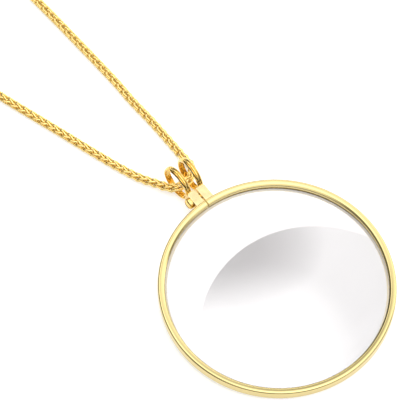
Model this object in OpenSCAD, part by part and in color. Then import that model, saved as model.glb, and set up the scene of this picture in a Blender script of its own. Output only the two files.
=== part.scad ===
// A magnifier pendant on a woven chain, lying on a flat surface as a whole loop.
// Millimetres. +Z is up, +Y runs from the pendant towards the clasp, and the origin is on the
// surface, under the middle of the whole necklace.

/* [Rim] */
// Outer diameter of the rim that frames the lens
rim_d = 45; // [38:0.5:60]
// Width of the rim's front face, from outside to inside
rim_w = 1.4; // [1.2:0.1:2.4]
// Height of the rim, from its back to its front
rim_h = 2.3; // [2:0.1:3.5]
// Radius of the rim's outer edges
rim_round = 0.5; // [0.2:0.05:0.7]
// Bevel on the rim's inner edge in front
front_bevel = 0.35; // [0.1:0.05:0.45]
// Small bevel on the rim's inner edge at the back
back_bevel = 0.15; // [0.05:0.05:0.2]
// Thickness of the lip that carries the back of the lens
back_lip = 0.35; // [0.25:0.05:0.6]
// How deep the edge of the lens sits in the rim's groove
seat_depth = 0.5; // [0.3:0.05:0.7]
// Gap where the rim is split, under the closing blocks
split_gap = 0.3; // [0.15:0.05:0.6]

/* [Lens] */
// Thickness of the lens at its edge
lens_edge = 0.7; // [0.5:0.1:1.1]
// Radius of the curved front of the lens
lens_front_r = 75; // [55:5:150]
// Clearance around the edge of the lens
lens_play = 0.1; // [0.05:0.05:0.2]
// Clearance in front of and behind the edge of the lens
seat_play = 0.05; // [0.02:0.01:0.1]

/* [Closing blocks] */
// Length of each block, outwards from the rim
block_l = 3; // [2.8:0.1:4.5]
// Width of each block
block_w = 1.85; // [1.7:0.05:2.6]
// Height of each block
block_h = 2; // [1.8:0.1:2.2]
// Bevel on the outer corner of each block
block_bevel = 0.35; // [0.1:0.05:0.5]

/* [Closing screw] */
// Distance of the screw outwards from the rim
screw_out = 1.4; // [1.3:0.1:1.6]
// Diameter of the screw's head
head_d = 2.2; // [1.8:0.1:2.3]
// Thickness of the screw's head
head_t = 1.1; // [0.5:0.1:1.4]
// Diameter of the screw's shank
shank_d = 1.1; // [0.8:0.1:1.3]
// Width of the slot in the head
slot_w = 0.35; // [0.2:0.05:0.5]
// Depth of the slot in the head
slot_t = 0.3; // [0.15:0.05:0.35]
// Clearance around the shank and under the head
screw_play = 0.05; // [0.03:0.01:0.1]

/* [Bail loops] */
// Outer diameter of each loop
loop_d = 7.2; // [6.6:0.1:8.4]
// Width of the band that each loop is bent from
band_w = 1.2; // [0.9:0.1:1.4]
// Thickness of the band
band_t = 0.55; // [0.45:0.05:0.7]
// Radius of the band's outer edges
band_round = 0.25; // [0.1:0.05:0.35]
// How far each loop leans out from the middle, in degrees
loop_splay = 2; // [0.5:0.5:4]
// How deep a loop is soldered into its block
loop_weld = 0.35; // [0.25:0.05:0.5]

/* [Chain] */
// Diameter of the woven chain
chain_d = 1.7; // [1.2:0.1:1.9]
// Clearance between the chain and the loops that it lies in
thread_play = 0.1; // [0.05:0.05:0.2]

/* [Clasp] */
// Length of the clasp's body
clasp_l = 11; // [8:0.5:16]
// Width of the clasp's body
clasp_w = 5.4; // [4.6:0.2:8]
// Thickness of the clasp's body
clasp_t = 2.2; // [1.6:0.1:3]
// Width of the metal around the clasp's opening
claw_w = 1.3; // [1:0.1:1.6]
// Outer diameter of the eye at each end of the clasp
eye_d = 2.8; // [2.4:0.1:3.6]
// Thickness of the eye's wire
eye_wire = 0.6; // [0.4:0.05:0.8]
// Gap between an eye and the end of the chain
end_gap = 0.2; // [0.1:0.05:0.5]

/* [Hidden] */
$fn = 96;

gold = "#e8c766";
pale_gold = "#f3dc8f";
glass = [0.93, 0.97, 0.98, 0.45];

// The rim and its groove
rim_r = rim_d / 2;
rim_in_r = rim_r - rim_w;
seat_r = rim_in_r + seat_depth;
mid_z = rim_h / 2;
arc_steps = 6;

// The lens, flat at the back and curved at the front
lens_r = seat_r - lens_play;
lens_z = back_lip + seat_play;
lens_top = lens_z + lens_edge;
front_drop = sqrt(lens_front_r * lens_front_r - lens_r * lens_r);

// The groove's top clears the curved front where it comes out of the rim
front_rise = sqrt(lens_front_r * lens_front_r - rim_in_r * rim_in_r) - front_drop;
groove_top = lens_top + front_rise + seat_play;

// The blocks start inside the rim's wall, clear of the groove
block_in_y = (seat_r + rim_r) / 2;
block_end_y = rim_r + block_l;
block_z = mid_z - block_h / 2;
block_side_x = split_gap / 2 + block_w;
screw_y = rim_r + screw_out;
shank_hole_d = shank_d + 2 * screw_play;

// The loops stand upright on the blocks' ends, flush with their outer sides and level with the
// middle of the rim
loop_r = loop_d / 2;
loop_in_r = loop_r - band_t;
loop_y = block_end_y + loop_r - loop_weld;
loop_x = block_side_x - band_w / 2;

// The pendant rests on its loops and on the far edge of its rim, so it leans a little
lean_run = rim_r - rim_round + loop_y;
lean_rise = mid_z - rim_round;
lean = asin((loop_r - rim_round) / sqrt(lean_run * lean_run + lean_rise * lean_rise))
    - atan2(lean_rise, lean_run);
rest_lift = loop_r - mid_z * cos(lean);
bail_at = [-2.86, -153.9];
pendant_turn = 14.25;

// The clasp lies at the far end of the loop
clasp_y = 203;
eye_r = eye_d / 2;
eye_x = clasp_l / 2 + eye_r - eye_wire;
clasp_blunt = 0.16;
chain_end_x = eye_x + eye_r + end_gap;
chain_end_y = clasp_y - 0.5;

// The chain's way round, from the clasp down the left side, through the loops and up the right:
// x, y and how far it is raised, as a share of the height at which it crosses a loop's band
ROUTE = [
    [-18, 199.5, 0],
    [-31, 192.5, 0],
    [-43, 181, 0],
    [-52.5, 165, 0],
    [-57.5, 145, 0],
    [-57.5, 120, 0],
    [-52, 90, 0],
    [-43.5, 57, 0],
    [-34, 22, 0],
    [-25, -13, 0],
    [-18, -48, 0],
    [-13, -81, 0],
    [-10.2, -100, 0],
    [-9, -118, 0],
    [-8.35, -128, 0],
    [-7.95, -135, 0],
    [-7.4, -142, 0],
    [-6.8, -146.3, 0.1],
    [-5.88, -150.12, 0.78],
    [-5.4, -152.09, 1.17],
    [-4.54, -153.31, 1.43],
    [-3.17, -154.09, 1.59],
    [-1.55, -154.22, 1.54],
    [0, -153.6, 1.35],
    [1.08, -152.42, 0.83],
    [1.78, -150.25, 0.14],
    [2.5, -147.6, 0],
    [3.3, -144.5, 0],
    [4.4, -140, 0],
    [5.6, -134.3, 0],
    [7, -128.9, 0],
    [9.4, -117.6, 0],
    [11.6, -106.6, 0],
    [16.3, -81, 0],
    [21.5, -48, 0],
    [27.5, -13, 0],
    [34.5, 22, 0],
    [43.5, 57, 0],
    [52, 90, 0],
    [57.5, 120, 0],
    [57.5, 145, 0],
    [52.5, 165, 0],
    [43, 181, 0],
    [31, 192.5, 0],
    [18, 199.5, 0]
];
band_rise = band_t + thread_play;
sides = 8;
steps = 2;
way = concat(
    [[-chain_end_x, chain_end_y, chain_d / 2]],
    [for (p = ROUTE) [p[0], p[1], chain_d / 2 + p[2] * band_rise]],
    [[chain_end_x, chain_end_y, chain_d / 2]]
);
last = len(way) - 1;

// A point at share t between b and c on a smooth curve through a, b, c and d
function smooth_point(a, b, c, d, t) = (
    2 * b + (c - a) * t + (2 * a - 5 * b + 4 * c - d) * t * t + (3 * b - a - 3 * c + d) * t * t * t
) / 2;
function unit(v) = v / norm(v);
function way_point(i) = way[max(0, min(last, i))];
centres = concat(
    [
        for (i = [0 : last - 1], k = [0 : steps - 1])
            smooth_point(way_point(i - 1), way_point(i), way_point(i + 1), way_point(i + 2), k / steps)
    ],
    [way[last]]
);
rings = len(centres);
function heading(i) = unit(centres[min(rings - 1, i + 1)] - centres[max(0, i - 1)]);
function ring(i) =
    let (
        ahead = heading(i),
        across = unit(cross(ahead, [0, 0, 1])),
        up = cross(across, ahead)
    )
    [
        for (k = [0 : sides - 1])
            let (turn = 360 * (k + 0.5) / sides)
            centres[i] + (across * cos(turn) + up * sin(turn)) * chain_d / 2
    ];

// Points of an arc about [x, y], from one angle to another
function arc(x, y, r, from, to) = [
    for (k = [0 : arc_steps])
        let (turn = from + (to - from) * k / arc_steps)
        [x + r * cos(turn), y + r * sin(turn)]
];

// An egg outline about the middle, blunt towards +X
function egg(l, w) = [
    for (turn = [0 : 10 : 350])
        [l / 2 * cos(turn), w / 2 * sin(turn) * (1 + clasp_blunt * cos(turn))]
];

// Puts a piece of the pendant where the pendant lies
module where_it_lies() {
    translate([bail_at[0], bail_at[1], rest_lift])
        rotate([0, 0, -pendant_turn])
            rotate([lean, 0, 0])
                translate([0, -loop_y, 0])
                    children();
}

module rim() {
    rotate_extrude() {
        polygon(concat(
            arc(rim_r - rim_round, rim_round, rim_round, -90, 0),
            arc(rim_r - rim_round, rim_h - rim_round, rim_round, 0, 90),
            [
                [rim_in_r + front_bevel, rim_h],
                [rim_in_r, rim_h - front_bevel],
                [rim_in_r, groove_top],
                [seat_r, groove_top],
                [seat_r, back_lip],
                [rim_in_r, back_lip],
                [rim_in_r, back_bevel],
                [rim_in_r + back_bevel, 0]
            ]
        ));
    }
}

// One closing block, on the +X side of the split
module block() {
    translate([0, 0, block_z]) {
        linear_extrude(height = block_h) {
            polygon([
                [split_gap / 2, block_in_y],
                [block_side_x, block_in_y],
                [block_side_x, block_end_y - block_bevel],
                [block_side_x - block_bevel, block_end_y],
                [split_gap / 2, block_end_y]
            ]);
        }
    }
}

// One loop, a flat band bent round and soldered to the end of its block
module loop() {
    translate([loop_x, block_end_y, mid_z])
        rotate([0, 0, -loop_splay])
            translate([0, loop_y - block_end_y, 0])
                rotate([0, 90, 0])
                    rotate_extrude() {
                        polygon(concat(
                            [[loop_in_r, -band_w / 2]],
                            arc(loop_r - band_round, band_round - band_w / 2, band_round, -90, 0),
                            arc(loop_r - band_round, band_w / 2 - band_round, band_round, 0, 90),
                            [[loop_in_r, band_w / 2]]
                        ));
                    }
}

// The split rim with its two blocks and two loops, soldered into one piece
module frame() {
    color(gold) where_it_lies() {
        difference() {
            union() {
                difference() {
                    rim();
                    translate([-split_gap / 2, 0, -1])
                        cube([split_gap, rim_r + 1, rim_h + 2]);
                }
                block();
                mirror([1, 0, 0]) block();
                loop();
                mirror([1, 0, 0]) loop();
            }
            translate([-block_side_x - 1, screw_y, mid_z])
                rotate([0, 90, 0])
                    cylinder(d = shank_hole_d, h = 2 * block_side_x + 2);
        }
    }
}

module lens() {
    color(glass) where_it_lies() {
        intersection() {
            translate([0, 0, lens_z])
                cylinder(r = lens_r, h = lens_front_r);
            translate([0, 0, lens_top - front_drop])
                sphere(r = lens_front_r, $fn = 240);
        }
    }
}

// The screw that holds the blocks together, its slotted head on the left
module closing_screw() {
    color(pale_gold) where_it_lies() {
        translate([-block_side_x - screw_play, screw_y, mid_z])
            rotate([0, 90, 0]) {
                difference() {
                    translate([0, 0, -head_t])
                        cylinder(d = head_d, h = head_t);
                    translate([-slot_w / 2, -head_d, -head_t - 1])
                        cube([slot_w, 2 * head_d, slot_t + 1]);
                }
                cylinder(d = shank_d, h = 2 * block_side_x + screw_play);
            }
    }
}

// The chain, as a plain tube along its way round
module chain() {
    color(gold) {
        polyhedron(
            points = [for (i = [0 : rings - 1]) each ring(i)],
            faces = concat(
                [
                    for (i = [0 : rings - 2], k = [0 : sides - 1])
                        let (
                            a = i * sides + k,
                            b = i * sides + (k + 1) % sides
                        )
                        [a, b, b + sides, a + sides]
                ],
                [[for (k = [sides - 1 : -1 : 0]) k]],
                [[for (k = [0 : sides - 1]) (rings - 1) * sides + k]]
            ),
            convexity = 6
        );
    }
}

// The clasp, one plain piece with an eye at each end
module clasp() {
    color(gold) translate([0, clasp_y, 0]) {
        linear_extrude(height = clasp_t) {
            difference() {
                polygon(egg(clasp_l, clasp_w));
                polygon(egg(clasp_l - 2 * claw_w, clasp_w - 2 * claw_w));
            }
        }
        for (side = [-1, 1]) {
            translate([side * eye_x, 0, clasp_t / 2])
                rotate_extrude()
                    translate([eye_r - eye_wire / 2, 0])
                        circle(d = eye_wire, $fn = 32);
        }
    }
}

frame();
lens();
closing_screw();
chain();
clasp();
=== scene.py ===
"""A magnifier pendant on a woven gold chain, lying on a pale table."""
from bisect import bisect
from math import cos, pi, radians, sin, sqrt

import bmesh
import bpy
from mathutils import Matrix, Vector


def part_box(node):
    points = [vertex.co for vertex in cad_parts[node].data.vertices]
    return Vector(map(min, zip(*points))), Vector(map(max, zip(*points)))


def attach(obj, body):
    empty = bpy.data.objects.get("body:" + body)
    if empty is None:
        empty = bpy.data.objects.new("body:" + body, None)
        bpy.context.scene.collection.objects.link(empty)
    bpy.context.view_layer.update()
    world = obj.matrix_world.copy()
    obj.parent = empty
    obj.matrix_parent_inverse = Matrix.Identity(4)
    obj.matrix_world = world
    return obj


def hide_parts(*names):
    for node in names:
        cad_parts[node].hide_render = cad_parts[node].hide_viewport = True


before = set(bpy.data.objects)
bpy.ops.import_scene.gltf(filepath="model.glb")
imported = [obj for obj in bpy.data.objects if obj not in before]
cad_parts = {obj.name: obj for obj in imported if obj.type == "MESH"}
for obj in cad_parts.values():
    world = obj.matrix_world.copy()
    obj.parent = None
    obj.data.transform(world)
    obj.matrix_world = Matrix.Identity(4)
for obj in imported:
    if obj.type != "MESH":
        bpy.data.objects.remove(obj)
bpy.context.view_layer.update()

# The camera looks down on the pendant from the side of its screw, through a long lens.
# It is placed so that the middle of the rim falls on the same pixel as in the photograph.
MM = 0.001
PHOTO_SIZE = 400
RIM_PIXEL_ACROSS = 277.0
RIM_PIXEL_DOWN = 287.8
RIM_FACE_Z = 2.2 * MM
FIELD_WIDTH = 75.2 * MM
VIEW_AZIMUTH = radians(-51.8)
VIEW_ELEVATION = radians(61)
LENS_LENGTH = 500
SENSOR_WIDTH = 36
NEAREST_SEEN = 10 * MM

lens_low, lens_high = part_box("lens")
rim_middle = (lens_low + lens_high) / 2
rim_middle.z = RIM_FACE_Z
to_right = Vector((cos(VIEW_AZIMUTH), sin(VIEW_AZIMUTH), 0))
to_camera = Vector((
    sin(VIEW_AZIMUTH) * cos(VIEW_ELEVATION),
    -cos(VIEW_AZIMUTH) * cos(VIEW_ELEVATION),
    sin(VIEW_ELEVATION),
))
to_top = to_camera.cross(to_right)
pixel = FIELD_WIDTH / PHOTO_SIZE
frame_middle = (
    rim_middle
    - to_right * (RIM_PIXEL_ACROSS - PHOTO_SIZE / 2) * pixel
    + to_top * (RIM_PIXEL_DOWN - PHOTO_SIZE / 2) * pixel
)

camera = bpy.data.objects.new("camera", bpy.data.cameras.new("camera"))
camera.data.lens = LENS_LENGTH
camera.data.sensor_width = SENSOR_WIDTH
camera.data.clip_start = NEAREST_SEEN
camera.location = frame_middle + to_camera * FIELD_WIDTH * LENS_LENGTH / SENSOR_WIDTH
camera.rotation_euler = (-to_camera).to_track_quat("-Z", "Y").to_euler()
bpy.context.collection.objects.link(camera)
bpy.context.scene.camera = camera
bpy.context.scene.view_settings.view_transform = "Standard"

# The table is a wide sheet of matt white acrylic, which the necklace lies on. It is lit a
# little from below, so that the shadows on it stay faint.
TABLE_WIDTH = 30
TABLE_DROP = 0.02 * MM
ACRYLIC_WHITE = "#D2D2D1"
ACRYLIC_ROUGHNESS = 0.9
TABLE_GLOW = 0.52


def linear(code):
    """The linear colour of an sRGB hex value."""
    shares = [int(code[i:i + 2], 16) / 255 for i in (1, 3, 5)]
    return [s / 12.92 if s <= 0.04045 else ((s + 0.055) / 1.055) ** 2.4 for s in shares] + [1]


table_shape = bmesh.new()
bmesh.ops.create_grid(table_shape, x_segments=1, y_segments=1, size=TABLE_WIDTH / 2)
bmesh.ops.translate(table_shape, verts=table_shape.verts, vec=(0, 0, -TABLE_DROP))
table = bpy.data.objects.new("table", bpy.data.meshes.new("table"))
table_shape.to_mesh(table.data)
table_shape.free()
bpy.context.collection.objects.link(table)

# Matt acrylic: an even white without gloss, which glows evenly.
acrylic = bpy.data.materials.new("matt white acrylic")
acrylic.use_nodes = True
for name, value in (
    ("Base Color", linear(ACRYLIC_WHITE)),
    ("Roughness", ACRYLIC_ROUGHNESS),
    ("Specular IOR Level", 0),
    ("Emission Color", (1, 1, 1, 1)),
    ("Emission Strength", TABLE_GLOW),
):
    acrylic.node_tree.nodes["Principled BSDF"].inputs[name].default_value = value
table.data.materials.append(acrylic)

# The studio is a soft dome with a dark horizon, a lamp behind the camera and one overhead. The
# lens mirrors a round grey reflector, which is dimmest at one place of its edge, and half of a
# softbox that rings it.
REFLECTOR_AZIMUTH = radians(127)
REFLECTOR_ELEVATION = radians(70.1)
REFLECTOR_HALF_ANGLE = radians(37.9)
REFLECTOR_SHARE = 0.74
EDGE_BLUR = 0.002
DIM_AZIMUTH = radians(40)
DIM_ELEVATION = radians(53)
DIM_CORE = radians(2)
DIM_REACH = radians(23)
SOFTBOX = 1.75
SOFTBOX_WHOLE = radians(58)
SOFTBOX_END = radians(66)
SOFTBOX_FACING = radians(40)
SOFTBOX_SIDE = (-0.1, 0.15)
KEY_LIGHT = 0.9
KEY_SIDE = (-0.25, -0.55)
OVERHEAD = 0.6
OVERHEAD_HEIGHT = (0.86, 0.97)
FILL = 0.42
HORIZON = 0.08
HORIZON_LEAN = 0.25
HORIZON_HEIGHT = (0.22, 0.5)


def add(material, kind, settings=None, links=None):
    """A shader node with its settings and the sockets that feed it."""
    node = material.node_tree.nodes.new(kind)
    for name, value in (settings or {}).items():
        if isinstance(name, int) or name in node.inputs:
            node.inputs[name].default_value = value
        else:
            setattr(node, name, value)
    for name, source in (links or {}).items():
        material.node_tree.links.new(source, node.inputs[name])
    return node


def towards(azimuth, elevation):
    """The direction at an azimuth, clockwise from +Y, and an elevation."""
    return Vector((
        sin(azimuth) * cos(elevation), cos(azimuth) * cos(elevation), sin(elevation)))


studio = bpy.data.worlds.new("studio")
studio.use_nodes = True
bpy.context.scene.world = studio
direction = add(studio, "ShaderNodeTexCoord")
from_reflector, from_dim_place, from_softbox_side = [
    add(studio, "ShaderNodeVectorMath", {"operation": "DOT_PRODUCT", 1: axis},
        {0: direction.outputs["Generated"]})
    for axis in (towards(REFLECTOR_AZIMUTH, REFLECTOR_ELEVATION),
                 towards(DIM_AZIMUTH, DIM_ELEVATION), towards(SOFTBOX_FACING, 0))
]
outside = add(studio, "ShaderNodeMapRange", {
    "From Min": cos(REFLECTOR_HALF_ANGLE) + EDGE_BLUR,
    "From Max": cos(REFLECTOR_HALF_ANGLE) - EDGE_BLUR,
}, {"Value": from_reflector.outputs["Value"]})
on_reflector = add(studio, "ShaderNodeMath", {"operation": "SUBTRACT", 0: 1},
                   {1: outside.outputs["Result"]})
away_from_dim_place = add(studio, "ShaderNodeMapRange", {
    "From Min": cos(DIM_CORE), "From Max": cos(DIM_REACH), "To Max": REFLECTOR_SHARE,
}, {"Value": from_dim_place.outputs["Value"]})
reflector = add(studio, "ShaderNodeMath", {"operation": "MULTIPLY"}, {
    0: away_from_dim_place.outputs["Result"], 1: on_reflector.outputs["Value"]})
within_softbox = add(studio, "ShaderNodeMapRange", {
    "From Min": cos(SOFTBOX_END), "From Max": cos(SOFTBOX_WHOLE),
    "interpolation_type": "SMOOTHSTEP",
}, {"Value": from_reflector.outputs["Value"]})
softbox_ring = add(studio, "ShaderNodeMath", {"operation": "MULTIPLY"}, {
    0: outside.outputs["Result"], 1: within_softbox.outputs["Result"]})
softbox_side = add(studio, "ShaderNodeMapRange", {
    "From Min": SOFTBOX_SIDE[0], "From Max": SOFTBOX_SIDE[1],
    "interpolation_type": "SMOOTHSTEP",
}, {"Value": from_softbox_side.outputs["Value"]})
softbox = add(studio, "ShaderNodeMath", {"operation": "MULTIPLY"}, {
    0: softbox_ring.outputs["Value"], 1: softbox_side.outputs["Result"]})
mirrored = add(studio, "ShaderNodeMath", {"operation": "ADD"}, {
    0: softbox.outputs["Value"], 1: reflector.outputs["Value"]})
with_fill = add(studio, "ShaderNodeMath", {
    "operation": "MULTIPLY_ADD", 1: SOFTBOX, 2: FILL - HORIZON,
}, {0: mirrored.outputs["Value"]})
key_light = add(studio, "ShaderNodeMapRange", {
    "From Min": KEY_SIDE[0], "From Max": KEY_SIDE[1], "To Max": KEY_LIGHT,
    "interpolation_type": "SMOOTHSTEP",
}, {"Value": from_softbox_side.outputs["Value"]})
with_key = add(studio, "ShaderNodeMath", {"operation": "ADD"}, {
    0: with_fill.outputs["Value"], 1: key_light.outputs["Result"]})
height = add(studio, "ShaderNodeSeparateXYZ", links={"Vector": direction.outputs["Generated"]})
overhead = add(studio, "ShaderNodeMapRange", {
    "From Min": OVERHEAD_HEIGHT[0], "From Max": OVERHEAD_HEIGHT[1], "To Max": OVERHEAD,
    "interpolation_type": "SMOOTHSTEP",
}, {"Value": height.outputs["Z"]})
all_lamps = add(studio, "ShaderNodeMath", {"operation": "ADD"}, {
    0: with_key.outputs["Value"], 1: overhead.outputs["Result"]})
leaning_height = add(studio, "ShaderNodeMath", {"operation": "MULTIPLY_ADD", 1: HORIZON_LEAN}, {
    0: height.outputs["X"], 2: height.outputs["Z"]})
above_horizon = add(studio, "ShaderNodeMapRange", {
    "From Min": HORIZON_HEIGHT[0], "From Max": HORIZON_HEIGHT[1],
    "interpolation_type": "SMOOTHSTEP",
}, {"Value": leaning_height.outputs["Value"]})
strength = add(studio, "ShaderNodeMath", {"operation": "MULTIPLY_ADD", 2: HORIZON}, {
    0: above_horizon.outputs["Result"], 1: all_lamps.outputs["Value"]})
background = studio.node_tree.nodes["Background"]
background.inputs["Color"].default_value = (1, 1, 1, 1)
studio.node_tree.links.new(strength.outputs["Value"], background.inputs["Strength"])

# The split rim that holds the lens: drawn brass wire with rounded outer edges and a groove
# turned inside it, bent into a ring, then gold-plated and polished bright. Its two ends stop
# a hair apart under the closing blocks, and each is soldered to its block. Sizes are in mm.
RIM_RADIUS = 22.5
RIM_WIDTH = 1.4
RIM_HEIGHT = 2.3
RIM_INSIDE = RIM_RADIUS - RIM_WIDTH
RIM_ROUND = 0.5
FRONT_ROUND = 0.5
FRONT_BEVEL = 0.35
FRONT_DISH = 0.09
BEVEL_ROUND = 0.08
BACK_LIP = 0.35
LIP_ROUND = 0.04
BACK_ROUND = 0.12
GROOVE_TOP = 1.27
GROOVE_DEPTH = 0.5
SPLIT_GAP = 0.3
RIM_STEPS = 288
ROUNDING_STEPS = 5
MERGE_WITHIN = 0.001
SHARP_FROM = radians(40)
# Real buffing marks are finer than this. They are drawn wider, so that they show.
BUFFING_MARK = 0.6 * MM
MARK_CONTRAST = 0.3
HAND_WAVE = 2.5 * MM
WAVE_HEIGHT = 0.05 * MM

# Where the pendant lies: leaning on its bail loops and on the far edge of its rim.
BAIL_PLACE = (-2.86, -153.9, 2.4513)
PENDANT_TURN = radians(-14.25)
PENDANT_LEAN = radians(2.768)
LOOP_CENTRE_Y = 28.75
lying = (
    Matrix.Scale(MM, 4)
    @ Matrix.Translation(BAIL_PLACE)
    @ Matrix.Rotation(PENDANT_TURN, 4, "Z")
    @ Matrix.Rotation(PENDANT_LEAN, 4, "X")
    @ Matrix.Translation((0, -LOOP_CENTRE_Y, 0))
)


def polished_metal(name, colour, roughness, waviness):
    """Plated and polished metal: bright, with faint buffing marks and slow waves in its face."""
    metal = bpy.data.materials.new(name)
    metal.use_nodes = True
    shader = metal.node_tree.nodes["Principled BSDF"]
    shader.inputs["Base Color"].default_value = linear(colour)
    shader.inputs["Metallic"].default_value = 1
    place = add(metal, "ShaderNodeTexCoord")
    marks = add(metal, "ShaderNodeTexNoise", {"Scale": 1 / BUFFING_MARK, "Detail": 4},
                {"Vector": place.outputs["Object"]})
    sheen = add(metal, "ShaderNodeMapRange", {
        "To Min": roughness * (1 - MARK_CONTRAST), "To Max": roughness * (1 + MARK_CONTRAST),
    }, {"Value": marks.outputs["Fac"]})
    waves = add(metal, "ShaderNodeTexNoise", {"Scale": 1 / HAND_WAVE, "Detail": 1},
                {"Vector": place.outputs["Object"]})
    bump = add(metal, "ShaderNodeBump", {"Strength": waviness, "Distance": WAVE_HEIGHT},
               {"Height": waves.outputs["Fac"]})
    metal.node_tree.links.new(sheen.outputs["Result"], shader.inputs["Roughness"])
    metal.node_tree.links.new(bump.outputs["Normal"], shader.inputs["Normal"])
    return metal


def make_piece(name, shape, place, material):
    """Turns a bmesh in mm into a smooth piece that lies at its place and rides with the part."""
    bmesh.ops.remove_doubles(shape, verts=shape.verts, dist=MERGE_WITHIN)
    bmesh.ops.recalc_face_normals(shape, faces=shape.faces)
    bmesh.ops.transform(shape, matrix=place, verts=shape.verts)
    piece = bpy.data.objects.new(name, bpy.data.meshes.new(name))
    shape.to_mesh(piece.data)
    shape.free()
    piece.data.shade_smooth()
    piece.data.set_sharp_from_angle(angle=SHARP_FROM)
    piece.data.materials.append(material)
    bpy.context.collection.objects.link(piece)
    even = piece.modifiers.new("even shading", "WEIGHTED_NORMAL")
    even.keep_sharp = True
    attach(piece, "root")
    return piece


def round_corner(shape, corner, radius, steps=ROUNDING_STEPS):
    """Rounds one corner of a flat outline."""
    bmesh.ops.bevel(shape, geom=[corner], offset=radius, offset_type="OFFSET", affect="VERTICES",
                    segments=steps, profile=0.5, material=-1)


# The pale gold plate of the rim, polished like a mirror: it shows the studio nearly sharp.
rim_gold = polished_metal(
    "mirror-polished pale gold plate", colour="#D9C68B", roughness=0.08, waviness=0.1)

# The wire's section: distance from the middle of the rim, height, and rounding of each corner.
rim_section = [
    (RIM_RADIUS, 0, RIM_ROUND),
    (RIM_RADIUS, RIM_HEIGHT, FRONT_ROUND),
    (RIM_INSIDE + FRONT_BEVEL, RIM_HEIGHT - FRONT_DISH, BEVEL_ROUND),
    (RIM_INSIDE, RIM_HEIGHT - FRONT_BEVEL, BEVEL_ROUND),
    (RIM_INSIDE, GROOVE_TOP, LIP_ROUND),
    (RIM_INSIDE + GROOVE_DEPTH, GROOVE_TOP, 0),
    (RIM_INSIDE + GROOVE_DEPTH, BACK_LIP, 0),
    (RIM_INSIDE, BACK_LIP, LIP_ROUND),
    (RIM_INSIDE, 0, BACK_ROUND),
]
rim_shape = bmesh.new()
corners = [rim_shape.verts.new((0, r, z)) for r, z, rounding in rim_section]
rim_shape.faces.new(corners)
for corner, (r, z, rounding) in zip(corners, rim_section):
    if rounding:
        round_corner(rim_shape, corner, rounding)
half_gap = SPLIT_GAP / 2 / RIM_RADIUS
bmesh.ops.rotate(rim_shape, verts=rim_shape.verts, matrix=Matrix.Rotation(half_gap, 3, "Z"))
bmesh.ops.spin(
    rim_shape, geom=rim_shape.verts[:] + rim_shape.edges[:] + rim_shape.faces[:],
    axis=(0, 0, 1), cent=(0, 0, 0), steps=RIM_STEPS, angle=2 * (pi - half_gap))
rim = make_piece("rim", rim_shape, lying, rim_gold)
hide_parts("frame")

# The two closing blocks: small brass blocks with softened edges, soldered to the ends of the
# rim and pulled together by the screw, which passes through a bore in each.
BLOCK_LENGTH = 3
BLOCK_WIDTH = 1.85
BLOCK_HEIGHT = 2
BLOCK_CORNER = 0.35
BLOCK_EDGE = 0.12
EDGE_STEPS = 3
BLOCK_START = (RIM_RADIUS + RIM_INSIDE + GROOVE_DEPTH) / 2
BLOCK_END = RIM_RADIUS + BLOCK_LENGTH
BORE_OUT = 1.4
BORE_Y = RIM_RADIUS + BORE_OUT
BORE = 1.2
DRILL_LENGTH = 6
DRILL_SIDES = 64
MIDDLE_Z = RIM_HEIGHT / 2


def cut_away(piece, cutter_shape, place):
    """Cuts one shape out of a piece, for good."""
    cutter = bpy.data.objects.new("cutter", bpy.data.meshes.new("cutter"))
    bmesh.ops.transform(cutter_shape, matrix=place, verts=cutter_shape.verts)
    cutter_shape.to_mesh(cutter.data)
    cutter_shape.free()
    bpy.context.collection.objects.link(cutter)
    cut = piece.modifiers.new("cut", "BOOLEAN")
    cut.object = cutter
    cut.solver = "EXACT"
    piece.modifiers.move(len(piece.modifiers) - 1, 0)
    with bpy.context.temp_override(object=piece, active_object=piece):
        bpy.ops.object.modifier_apply(modifier=cut.name)
    bpy.data.objects.remove(cutter)
    piece.data.shade_smooth()
    piece.data.set_sharp_from_angle(angle=SHARP_FROM)


# The gold plate of the small blocks, buffed by hand: softer and more uneven than the rim's.
block_gold = polished_metal(
    "hand-buffed gold plate", colour="#F4DDA6", roughness=0.12, waviness=1)

for side, name in ((-1, "closing_block_left"), (1, "closing_block_right")):
    block_shape = bmesh.new()
    bmesh.ops.create_cube(block_shape, size=1)
    bmesh.ops.scale(block_shape, verts=block_shape.verts,
                    vec=(BLOCK_WIDTH, BLOCK_END - BLOCK_START, BLOCK_HEIGHT))
    bmesh.ops.translate(block_shape, verts=block_shape.verts, vec=(
        SPLIT_GAP / 2 + BLOCK_WIDTH / 2, (BLOCK_START + BLOCK_END) / 2, MIDDLE_Z))
    outer_corner = [e for e in block_shape.edges if all(
        v.co.x > BLOCK_WIDTH / 2 and v.co.y > RIM_RADIUS for v in e.verts)]
    bmesh.ops.bevel(block_shape, geom=outer_corner, offset=BLOCK_CORNER, offset_type="OFFSET",
                    affect="EDGES", segments=1, profile=0.5, material=-1)
    bmesh.ops.bevel(block_shape, geom=block_shape.edges[:], offset=BLOCK_EDGE,
                    offset_type="OFFSET", affect="EDGES", segments=EDGE_STEPS, profile=0.5,
                    material=-1)
    if side < 0:
        bmesh.ops.scale(block_shape, verts=block_shape.verts, vec=(-1, 1, 1))
        bmesh.ops.recalc_face_normals(block_shape, faces=block_shape.faces)
    block = make_piece(name, block_shape, lying, block_gold)
    drill = bmesh.new()
    bmesh.ops.create_cone(drill, cap_ends=True, segments=DRILL_SIDES, radius1=BORE / 2,
                          radius2=BORE / 2, depth=DRILL_LENGTH,
                          matrix=Matrix.Rotation(pi / 2, 4, "Y"))
    cut_away(block, drill, lying @ Matrix.Translation((0, BORE_Y, MIDDLE_Z)))
    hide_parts("frame")

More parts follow.
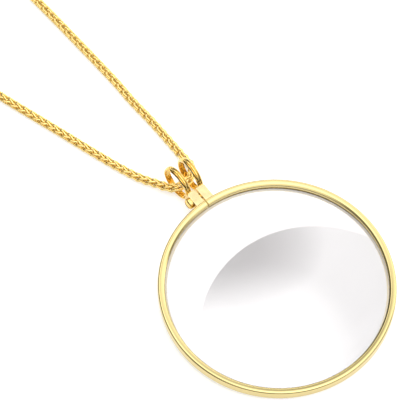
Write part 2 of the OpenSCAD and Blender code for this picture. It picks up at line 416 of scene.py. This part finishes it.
# The two bail loops: low half-round gold-plated band with two lines rolled along its outside,
# bent into upright rings that lean a little apart, each soldered to the end of its block.
LOOP_DIAMETER = 7.2
BAND_WIDTH = 1.2
BAND_THICKNESS = 0.55
BAND_DOME = 0.24
DOME_POWER = 3
BAND_EDGE = 0.08
BAND_EDGE_STEPS = 4
LINE_PLACES = (-0.22, 0.2)
LINE_HALF_WIDTH = 0.13
LINE_DEPTH = 0.14
LOOP_SPLAY = radians(2)
LOOP_X = SPLIT_GAP / 2 + BLOCK_WIDTH - BAND_WIDTH / 2
LOOP_STEPS = 128
BAND_STEPS = 48

# The warm gold plate of the bail, polished bright: it mirrors dark and light in clear bands.
gold_plate = polished_metal(
    "polished gold plate", colour="#F0CD7C", roughness=0.08, waviness=0.1)

for side, name in ((-1, "bail_loop_left"), (1, "bail_loop_right")):
    loop_shape = bmesh.new()
    loop_out = LOOP_DIAMETER / 2
    loop_in = loop_out - BAND_THICKNESS
    band = [(-BAND_WIDTH / 2, loop_in), (BAND_WIDTH / 2, loop_in)]
    for k in range(BAND_STEPS + 1):
        x = BAND_WIDTH * (0.5 - k / BAND_STEPS)
        line_depth = sum(
            LINE_DEPTH * max(0, 1 - abs(x - at) / LINE_HALF_WIDTH) for at in LINE_PLACES)
        dome_drop = BAND_DOME * abs(2 * x / BAND_WIDTH) ** DOME_POWER
        band.append((x, loop_out - dome_drop - line_depth))
    corners = [loop_shape.verts.new((x, 0, r)) for x, r in band]
    loop_shape.faces.new(corners)
    for corner in corners[:2]:
        round_corner(loop_shape, corner, BAND_EDGE, BAND_EDGE_STEPS)
    bmesh.ops.delete(loop_shape, geom=loop_shape.faces[:], context="FACES_ONLY")
    bmesh.ops.spin(loop_shape, geom=loop_shape.verts[:] + loop_shape.edges[:], axis=(1, 0, 0),
                   cent=(0, 0, 0), steps=LOOP_STEPS, angle=2 * pi, use_merge=True)
    stand = (
        Matrix.Translation((side * LOOP_X, BLOCK_END, MIDDLE_Z))
        @ Matrix.Rotation(-side * LOOP_SPLAY, 4, "Z")
        @ Matrix.Translation((0, LOOP_CENTRE_Y - BLOCK_END, 0))
    )
    loop = make_piece(name, loop_shape, lying @ stand, gold_plate)
    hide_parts("frame")

# The lens: clear optical glass, flat at the back and ground to a low dome in front, polished
# on both faces and hard-coated in front. Its thin edge sits loosely in the rim's groove.
LENS_RADIUS = 21.5
LENS_BACK = 0.4
LENS_EDGE = 0.7
LENS_BEVEL = 0.05
FRONT_RADIUS = 75
FRONT_RINGS = 40
LENS_STEPS = 192
GLASS_IOR = 1.5
# The grey of the glass is painted shade: it darkens the table seen through the lens.
GLASS_PAINTED_SHADE = "#DAD7D8"
COAT_IOR = 3.0
HAZE_PATCH = 6 * MM
HAZE_RANGE = (0.4, 0.8)
HAZE_ROUGHNESS = 0.01
FRONT_FACING = 0.5


def optical_glass(name, coat):
    """Ground and polished glass, clear but for its grey tint, which is painted shade."""
    glass = bpy.data.materials.new(name)
    glass.use_nodes = True
    shader = glass.node_tree.nodes["Principled BSDF"]
    shader.inputs["Base Color"].default_value = linear(GLASS_PAINTED_SHADE)
    shader.inputs["Transmission Weight"].default_value = 1
    shader.inputs["IOR"].default_value = GLASS_IOR
    shader.inputs["Coat Weight"].default_value = coat
    shader.inputs["Coat IOR"].default_value = COAT_IOR
    shader.inputs["Coat Roughness"].default_value = 0
    place = add(glass, "ShaderNodeTexCoord")
    haze = add(glass, "ShaderNodeTexNoise", {"Scale": 1 / HAZE_PATCH, "Detail": 3},
               {"Vector": place.outputs["Object"]})
    polish = add(glass, "ShaderNodeMapRange", {
        "From Min": HAZE_RANGE[0], "From Max": HAZE_RANGE[1], "To Max": HAZE_ROUGHNESS,
    }, {"Value": haze.outputs["Fac"]})
    glass.node_tree.links.new(polish.outputs["Result"], shader.inputs["Roughness"])
    return glass


# The bare glass at the back and edge shows faintly. The coat in front mirrors the softbox.
lens_glass = optical_glass("polished optical glass", coat=0)
coated_glass = optical_glass("optical glass with a hard-coated front", coat=1)

front_centre = LENS_BACK + LENS_EDGE - sqrt(FRONT_RADIUS ** 2 - LENS_RADIUS ** 2)
profile = [
    (0, LENS_BACK), (LENS_RADIUS - LENS_BEVEL, LENS_BACK), (LENS_RADIUS, LENS_BACK + LENS_BEVEL),
]
for ring in range(FRONT_RINGS, -1, -1):
    r = LENS_RADIUS * ring / FRONT_RINGS
    profile.append((r, front_centre + sqrt(FRONT_RADIUS ** 2 - r ** 2)))
lens_shape = bmesh.new()
points = [lens_shape.verts.new((r, 0, z)) for r, z in profile]
for start, end in zip(points, points[1:]):
    lens_shape.edges.new((start, end))
bmesh.ops.spin(lens_shape, geom=lens_shape.verts[:] + lens_shape.edges[:], axis=(0, 0, 1),
               cent=(0, 0, 0), steps=LENS_STEPS, angle=2 * pi, use_merge=True)
lens = make_piece("magnifying_lens", lens_shape, lying, lens_glass)
lens.data.materials.append(coated_glass)
lens_up = lying.to_3x3().normalized() @ Vector((0, 0, 1))
for face in lens.data.polygons:
    if face.normal.dot(lens_up) > FRONT_FACING:
        face.material_index = 1
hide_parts("lens")

# The closing screw: turned brass, gold-plated, with a slotted head on the left and its plain
# end flush with the right block. It clamps the split rim round the lens.
HEAD_DIAMETER = 2.2
HEAD_THICKNESS = 1.1
HEAD_CROWN = 0.45
HEAD_EDGE = 0.12
HEAD_FOOT_EDGE = 0.05
SHANK_DIAMETER = 1.1
SHANK_EDGE = 0.1
SCREW_EDGE_STEPS = 4
SLOT_WIDTH = 0.35
SLOT_DEPTH = 0.3
SLOT_TURN = radians(20)
SCREW_PLAY = 0.05
SCREW_STEPS = 64
BLOCK_SIDE = SPLIT_GAP / 2 + BLOCK_WIDTH
# The domed top of the head: depth below its middle, and distance from the screw's axis.
HEAD_TOP = [(0, 0), (0.04, 0.35), (0.12, 0.65), (0.26, 0.9)]

# Brass turned on a lathe and gold-plated: a little duller than the rim, with a hint of red.
screw_gold = polished_metal(
    "turned gold-plated brass", colour="#EBCB80", roughness=0.14, waviness=0.05)
screw_length = HEAD_THICKNESS + SCREW_PLAY + 2 * BLOCK_SIDE
screw_shape = bmesh.new()
head_dome = [screw_shape.verts.new((x, 0, r)) for x, r in HEAD_TOP]
crown, foot, neck, end, end_middle = [screw_shape.verts.new((x, 0, r)) for x, r in (
    (HEAD_CROWN, HEAD_DIAMETER / 2), (HEAD_THICKNESS, HEAD_DIAMETER / 2),
    (HEAD_THICKNESS, SHANK_DIAMETER / 2), (screw_length, SHANK_DIAMETER / 2),
    (screw_length, 0),
)]
screw_shape.faces.new(head_dome + [crown, foot, neck, end, end_middle])
for corner, radius in ((crown, HEAD_EDGE), (foot, HEAD_FOOT_EDGE), (end, SHANK_EDGE)):
    round_corner(screw_shape, corner, radius, SCREW_EDGE_STEPS)
bmesh.ops.delete(screw_shape, geom=screw_shape.faces[:], context="FACES_ONLY")
bmesh.ops.spin(screw_shape, geom=screw_shape.verts[:] + screw_shape.edges[:], axis=(1, 0, 0),
               cent=(0, 0, 0), steps=SCREW_STEPS, angle=2 * pi, use_merge=True)
head_start = -BLOCK_SIDE - SCREW_PLAY - HEAD_THICKNESS
screw_place = lying @ Matrix.Translation((head_start, BORE_Y, MIDDLE_Z))
screw = make_piece("slotted_screw", screw_shape, screw_place, screw_gold)
slot_shape = bmesh.new()
bmesh.ops.create_cube(slot_shape, size=1)
bmesh.ops.scale(slot_shape, verts=slot_shape.verts,
                vec=(2 * SLOT_DEPTH, 2 * HEAD_DIAMETER, SLOT_WIDTH))
cut_away(screw, slot_shape, screw_place @ Matrix.Rotation(SLOT_TURN, 4, "X"))
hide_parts("closing_screw")

# The chain: fine gold-plated wire, fused into long rings that are folded double and drawn
# through each other in two sets at right angles, as in a foxtail. Each link's foot goes
# through both arches of the link before it. It is a whole loop of about 78 cm.
CHAIN_DIAMETER = 1.7
CHAIN_LIFT = 0.65
WIRE = 0.36
WIRE_SIDES = 5
LINK_PITCH = 1.74
LINK_REACH = 2.3
LINK_START = 0.3
FIRST_SET_TURN = radians(45)
SECOND_SET_TURN = radians(135)
ROLL_LEFT = radians(-26)
ROLL_RIGHT = radians(20)
ROLL_CHANGE = (0.45, 0.55)
STEPS_BETWEEN = 40
# The chain's way from the clasp round through the bail: x, y, and how many times CHAIN_LIFT
# it is raised above the table there.
ROUTE = [
    (-7.9, 202.5, 0), (-18, 199.5, 0), (-31, 192.5, 0), (-43, 181, 0), (-52.5, 165, 0),
    (-57.5, 145, 0), (-57.5, 120, 0), (-52, 90, 0), (-43.5, 57, 0), (-34, 22, 0), (-25, -13, 0),
    (-18, -48, 0), (-13, -81, 0), (-10.2, -100, 0), (-9, -118, 0), (-8.35, -128, 0),
    (-7.95, -135, 0), (-7.4, -142, 0), (-6.8, -146.3, 0.1), (-5.88, -150.12, 0.78),
    (-5.4, -152.09, 1.17), (-4.54, -153.31, 1.43), (-3.17, -154.09, 1.59), (-1.55, -154.22, 1.54),
    (0, -153.6, 1.35), (1.08, -152.42, 0.83), (1.78, -150.25, 0.14), (2.5, -147.6, 0),
    (3.3, -144.5, 0), (4.4, -140, 0), (5.6, -134.3, 0), (7, -128.9, 0), (9.4, -117.6, 0),
    (11.6, -106.6, 0), (16.3, -81, 0), (21.5, -48, 0), (27.5, -13, 0), (34.5, 22, 0),
    (43.5, 57, 0), (52, 90, 0), (57.5, 120, 0), (57.5, 145, 0), (52.5, 165, 0), (43, 181, 0),
    (31, 192.5, 0), (18, 199.5, 0), (7.9, 202.5, 0),
]
# Half of one arch of a link: across the fold, along the fold's width, and along the chain.
ARCH = [(0.58, 0.17, 0.1), (0.77, 0.2, 0.8), (0.44, 0.45, 1.65)]
ARCH_TOP = (0.26, 0, 2.2)


def smooth_point(a, b, c, d, share):
    """The point at a share between b and c, on a smooth curve through a, b, c and d."""
    return (2 * b + (c - a) * share + (2 * a - 5 * b + 4 * c - d) * share ** 2
            + (3 * b - a - 3 * c + d) * share ** 3) / 2


way = [Vector((x, y, CHAIN_DIAMETER / 2 + lift * CHAIN_LIFT)) for x, y, lift in ROUTE]
line = []
for i in range(len(way) - 1):
    around = [way[max(0, i - 1)], way[i], way[i + 1], way[min(len(way) - 1, i + 2)]]
    line += [smooth_point(*around, k / STEPS_BETWEEN) for k in range(STEPS_BETWEEN)]
line.append(way[-1])
reach = [0]
for start, end in zip(line, line[1:]):
    reach.append(reach[-1] + (end - start).length)

arch = ARCH + [ARCH_TOP] + [(u, -v, t) for u, v, t in ARCH[::-1]]
link_line = arch + [(-u, v, t) for u, v, t in arch[::-1]]
link_curve = bpy.data.curves.new("link", "CURVE")
link_curve.dimensions = "3D"
wire_curve = bpy.data.curves.new("wire section", "CURVE")
wire_section = wire_curve.splines.new("POLY")
wire_section.points.add(WIRE_SIDES - 1)
for k, point in enumerate(wire_section.points):
    corner = 2 * pi * k / WIRE_SIDES
    point.co = (WIRE / 2 * cos(corner), WIRE / 2 * sin(corner), 0, 1)
wire_section.use_cyclic_u = True
wire_object = bpy.data.objects.new("wire section", wire_curve)
bpy.context.collection.objects.link(wire_object)
link_curve.bevel_mode = "OBJECT"
link_curve.bevel_object = wire_object
strand = link_curve.splines.new("POLY")
strand.points.add(len(link_line) - 1)
for point, place_in_link in zip(strand.points, link_line):
    point.co = (*place_in_link, 1)
strand.use_cyclic_u = True
link_object = bpy.data.objects.new("link", link_curve)
bpy.context.collection.objects.link(link_object)
link_mesh = bpy.data.meshes.new_from_object(
    link_object.evaluated_get(bpy.context.evaluated_depsgraph_get()))
bpy.data.objects.remove(link_object)
bpy.data.objects.remove(wire_object)
row_object = bpy.data.objects.new("row of links", link_mesh)
bpy.context.collection.objects.link(row_object)
row = row_object.modifiers.new("row", "ARRAY")
row.use_relative_offset = False
row.use_constant_offset = True
row.constant_offset_displace = (0, 0, LINK_PITCH)
row.count = int((reach[-1] - 2 * LINK_START - LINK_REACH) / LINK_PITCH)
row_mesh = bpy.data.meshes.new_from_object(
    row_object.evaluated_get(bpy.context.evaluated_depsgraph_get()))
bpy.data.objects.remove(row_object)

# Drawn wire, gold-plated: smooth and bright, so that each link glints by itself.
chain_gold = polished_metal(
    "drawn gold-plated wire", colour="#F9DD90", roughness=0.1, waviness=0.04)


def along_chain(point):
    """Moves a point of the straight chain, whose length runs along Z, onto the chain's way."""
    at = min(max(bisect(reach, point.z), 1), len(line) - 1)
    ahead = (line[at] - line[at - 1]).normalized()
    share = (point.z - reach[at - 1]) / (reach[at] - reach[at - 1])
    centre = line[at - 1].lerp(line[at], share)
    across = ahead.cross(Vector((0, 0, 1))).normalized()
    way_gone = point.z / reach[-1]
    past_bail = (way_gone - ROLL_CHANGE[0]) / (ROLL_CHANGE[1] - ROLL_CHANGE[0])
    roll = ROLL_LEFT + (ROLL_RIGHT - ROLL_LEFT) * min(max(past_bail, 0), 1)
    offset = Matrix.Rotation(roll, 2) @ Vector((point.x, point.y))
    return centre + across * offset.x + across.cross(ahead) * offset.y


for name, set_turn, pitch_share in (
    ("chain_links_upright", FIRST_SET_TURN, 0), ("chain_links_turned", SECOND_SET_TURN, 0.5),
):
    chain_shape = bmesh.new()
    chain_shape.from_mesh(row_mesh)
    turn = Matrix.Rotation(set_turn, 4, "Z")
    slide = Matrix.Translation((0, 0, LINK_START + pitch_share * LINK_PITCH))
    bmesh.ops.transform(chain_shape, matrix=slide @ turn, verts=chain_shape.verts)
    for vertex in chain_shape.verts:
        vertex.co = along_chain(vertex.co)
    chain_piece = bpy.data.objects.new(name, bpy.data.meshes.new(name))
    bmesh.ops.transform(chain_shape, matrix=Matrix.Scale(MM, 4), verts=chain_shape.verts)
    chain_shape.to_mesh(chain_piece.data)
    chain_shape.free()
    chain_piece.data.shade_smooth()
    chain_piece.data.materials.append(chain_gold)
    bpy.context.collection.objects.link(chain_piece)
    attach(chain_piece, "root")
    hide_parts("chain")

# The two end rings: round gold-plated wire, each through the last link of the chain and
# through one eye of the clasp, closed by a fused joint.
END_RING_WIRE = 0.4
END_RING_RADIUS = 0.85
END_RING_X = 7.55
END_RING_Z = 1.15
CLASP_Y = 203
RING_WIRE_SIDES = 20
RING_STEPS = 64


def wire_ring(radius, wire, axis, middle):
    """A ring of round wire about an axis, in mm."""
    shape = bmesh.new()
    across = Matrix.Translation((radius, 0, 0)) @ Matrix.Rotation(pi / 2, 4, "X")
    bmesh.ops.create_circle(shape, segments=RING_WIRE_SIDES, radius=wire / 2, matrix=across)
    bmesh.ops.spin(shape, geom=shape.verts[:] + shape.edges[:], axis=(0, 0, 1), cent=(0, 0, 0),
                   steps=RING_STEPS, angle=2 * pi, use_merge=True)
    turn = Vector(axis).to_track_quat("Z", "Y").to_matrix().to_4x4()
    bmesh.ops.transform(shape, matrix=Matrix.Translation(middle) @ turn, verts=shape.verts)
    return shape


for side, name in ((-1, "end_ring_left"), (1, "end_ring_right")):
    ring_middle = (side * END_RING_X, CLASP_Y, END_RING_Z)
    ring_shape = wire_ring(END_RING_RADIUS, END_RING_WIRE, (0, 1, 0), ring_middle)
    end_ring = make_piece(name, ring_shape, Matrix.Scale(MM, 4), chain_gold)
    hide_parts("chain")

# The clasp, hidden in the photo: one plain egg-shaped claw of cast brass with an eye soldered
# to each end, gold-plated and polished. Its edges are well rounded.
CLASP_LENGTH = 11
CLASP_WIDTH = 5.4
CLASP_THICKNESS = 2.2
CLAW_WIDTH = 1.3
CLASP_BLUNT = 0.16
CLASP_ROUND = 0.5
EYE_RADIUS = 1.1
EYE_WIRE = 0.6
CLASP_STEPS = 128
ROUNDING_FROM = radians(60)

claw_shape = bmesh.new()
bmesh.ops.create_circle(claw_shape, segments=CLASP_STEPS, radius=1)
outer = claw_shape.verts[:]
bmesh.ops.extrude_edge_only(claw_shape, edges=claw_shape.edges[:])
inner = [v for v in claw_shape.verts if v not in outer]
for row_of_corners, inset in ((outer, 0), (inner, CLAW_WIDTH)):
    for corner in row_of_corners:
        along, aside = corner.co.xy
        corner.co.x = (CLASP_LENGTH / 2 - inset) * along
        corner.co.y = CLASP_Y + (CLASP_WIDTH / 2 - inset) * aside * (1 + CLASP_BLUNT * along)
grown = bmesh.ops.extrude_face_region(claw_shape, geom=claw_shape.faces[:])
bmesh.ops.translate(claw_shape, vec=(0, 0, CLASP_THICKNESS),
                    verts=[v for v in grown["geom"] if isinstance(v, bmesh.types.BMVert)])
bmesh.ops.recalc_face_normals(claw_shape, faces=claw_shape.faces)
claw_edges = [
    e for e in claw_shape.edges
    if len(e.link_faces) == 2 and e.calc_face_angle() > ROUNDING_FROM
]
bmesh.ops.bevel(claw_shape, geom=claw_edges, offset=CLASP_ROUND, offset_type="OFFSET",
                affect="EDGES", segments=ROUNDING_STEPS, profile=0.5, material=-1)
claw = make_piece("clasp_claw", claw_shape, Matrix.Scale(MM, 4), gold_plate)
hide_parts("clasp")
for side, name in ((-1, "clasp_eye_left"), (1, "clasp_eye_right")):
    eye_x = side * (CLASP_LENGTH / 2 + EYE_RADIUS - EYE_WIRE / 2)
    eye_shape = wire_ring(EYE_RADIUS, EYE_WIRE, (0, 0, 1), (eye_x, CLASP_Y, CLASP_THICKNESS / 2))
    eye = make_piece(name, eye_shape, Matrix.Scale(MM, 4), gold_plate)
    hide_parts("clasp")
